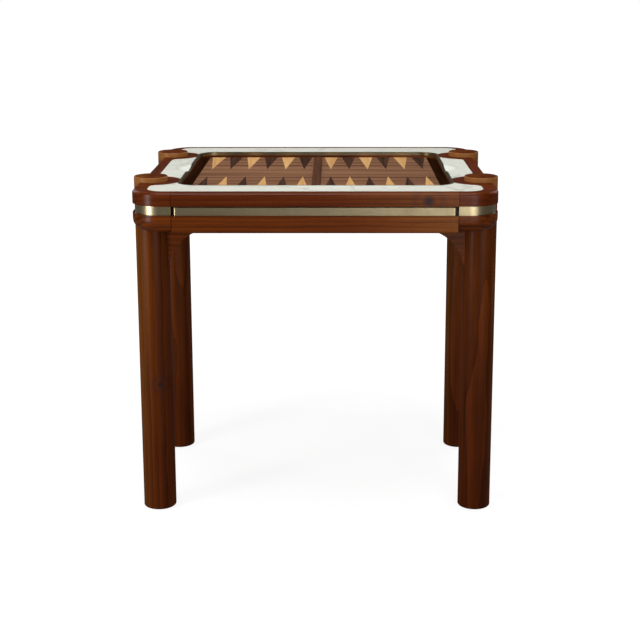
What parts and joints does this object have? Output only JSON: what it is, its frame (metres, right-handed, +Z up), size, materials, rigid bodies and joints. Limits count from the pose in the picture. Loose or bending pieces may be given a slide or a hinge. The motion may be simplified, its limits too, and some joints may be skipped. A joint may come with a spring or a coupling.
{
  "type": "backgammon table",
  "caption": "Backgammon table on round posts, with marble inlays round a sunken inlaid board, a brass-banded apron and a drawer for each player.",
  "frame": {"origin": "on the floor under the middle of the table", "axes": "+Z up, -Y towards the front player, +X to the front player's right"},
  "size_m": [0.79, 0.75, 0.76],
  "materials": {
    "frame_wood": "lacquered walnut, satin gloss",
    "leg_wood": "lacquered walnut, satin gloss",
    "marble": "polished white marble with grey veins",
    "brass": "brushed, aged",
    "board_veneer": "walnut veneer, satin",
    "light_inlay": "maple veneer, satin",
    "dark_inlay": "dark stained veneer, satin",
    "bar_wood": "walnut, satin",
    "inner_wood": "plain oiled hardwood",
    "drawer_wood": "oiled beech",
    "felt": "moulded glide",
    "screws": "zinc plated"
  },
  "bodies": {
    "table": {"front_left_leg": "leg_wood", "front_right_leg": "leg_wood", "back_left_leg": "leg_wood", "back_right_leg": "leg_wood", "floor_glides": "felt", "front_arched_rail": "frame_wood", "back_arched_rail": "frame_wood", "left_arched_rail": "frame_wood", "right_arched_rail": "frame_wood", "front_left_corner_block": "frame_wood", "front_right_corner_block": "frame_wood", "back_left_corner_block": "frame_wood", "back_right_corner_block": "frame_wood", "front_left_corner_brass": "brass", "front_right_corner_brass": "brass", "back_left_corner_brass": "brass", "back_right_corner_brass": "brass", "left_apron": "frame_wood", "right_apron": "frame_wood", "left_apron_brass": "brass", "right_apron_brass": "brass", "front_left_top_corner": "frame_wood", "front_right_top_corner": "frame_wood", "back_left_top_corner": "frame_wood", "back_right_top_corner": "frame_wood", "front_top_rail": "frame_wood", "back_top_rail": "frame_wood", "left_top_rail": "frame_wood", "right_top_rail": "frame_wood", "front_marble": "marble", "back_marble": "marble", "left_marble": "marble", "right_marble": "marble", "board_trim": "brass", "board_panel": "inner_wood", "left_field": "board_veneer", "right_field": "board_veneer", "side_strips": "dark_inlay", "light_points": "light_inlay", "dark_points": "dark_inlay", "centre_bar": "bar_wood", "left_drawer_runner": "inner_wood", "right_drawer_runner": "inner_wood", "left_drawer_guide": "inner_wood", "right_drawer_guide": "inner_wood", "centre_stretcher": "inner_wood", "frame_splines": "inner_wood", "corner_screws": "screws"},
    "front_drawer": {"front_drawer_face": "frame_wood", "front_drawer_brass": "brass", "front_drawer_sides": "drawer_wood", "front_drawer_back": "drawer_wood", "front_drawer_bottom": "drawer_wood"},
    "back_drawer": {"back_drawer_face": "frame_wood", "back_drawer_brass": "brass", "back_drawer_sides": "drawer_wood", "back_drawer_back": "drawer_wood", "back_drawer_bottom": "drawer_wood"}
  },
  "joints": [
    {"name": "front_drawer_slide", "type": "slide", "parent": "table", "child": "front_drawer", "axis": [0, -1, 0], "range_m": [0, 0.22]},
    {"name": "back_drawer_slide", "type": "slide", "parent": "table", "child": "back_drawer", "axis": [0, 1, 0], "range_m": [0, 0.22]}
  ]
}
